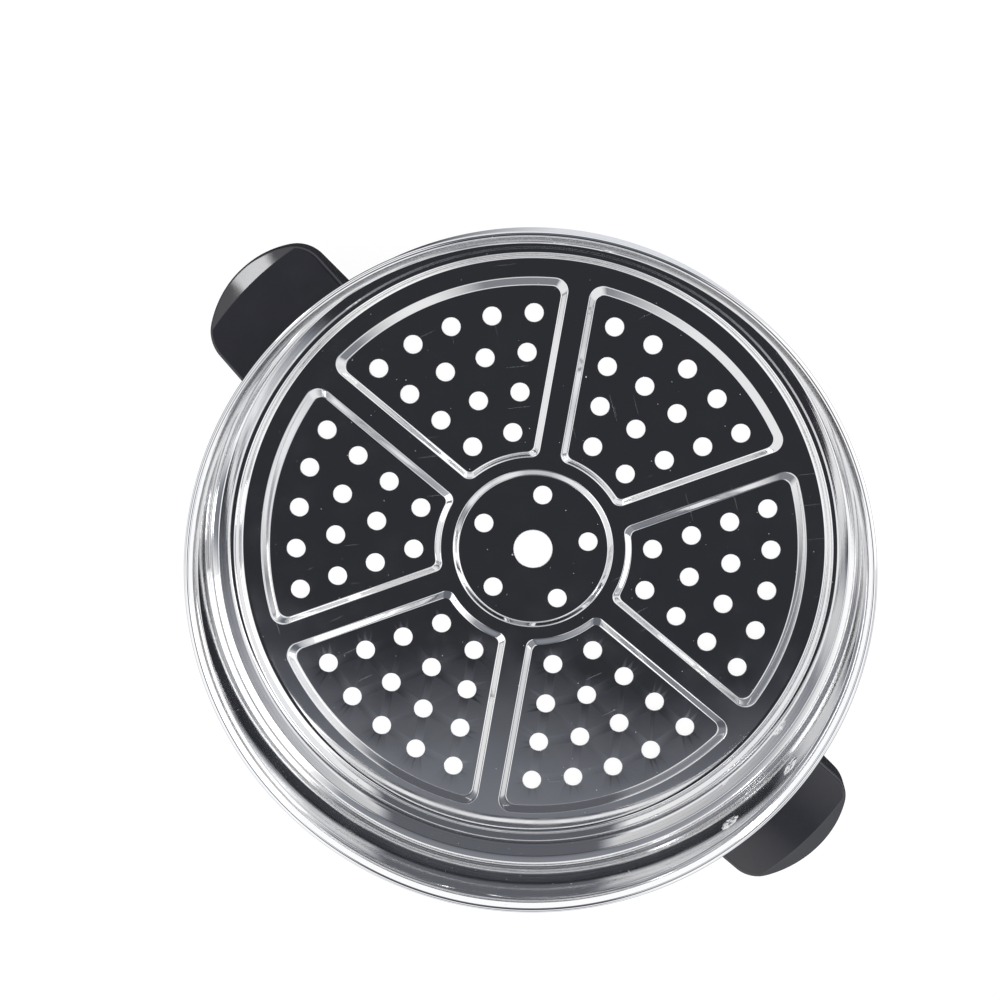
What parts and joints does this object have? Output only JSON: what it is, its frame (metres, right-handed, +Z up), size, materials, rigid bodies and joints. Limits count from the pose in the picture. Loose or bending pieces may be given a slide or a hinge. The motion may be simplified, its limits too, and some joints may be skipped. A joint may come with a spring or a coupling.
{
  "type": "steamer pan",
  "caption": "Round steel steamer tier of a multicooker: perforated floor pressed into sectors, upright wall with curled rim, and two black moulded ear handles.",
  "frame": {"origin": "pan axis on the surface that the pan stands on", "axes": "+Z up along the pan axis, +X along the line through both handles"},
  "size_m": [0.348, 0.2872, 0.0694],
  "materials": {
    "polished_steel": "mirror-polished stainless steel",
    "black_phenolic": "glossy black moulded phenolic",
    "bracket_steel": "satin stamped steel",
    "plated_screw": "zinc-plated steel"
  },
  "bodies": {
    "root": {"steamer_pan": "polished_steel", "handle_right": "black_phenolic", "handle_left": "black_phenolic", "handle_bracket_right": "bracket_steel", "handle_bracket_left": "bracket_steel", "handle_screw_right": "plated_screw", "handle_screw_left": "plated_screw", "handle_washer_right": "plated_screw", "handle_washer_left": "plated_screw"}
  },
  "joints": []
}
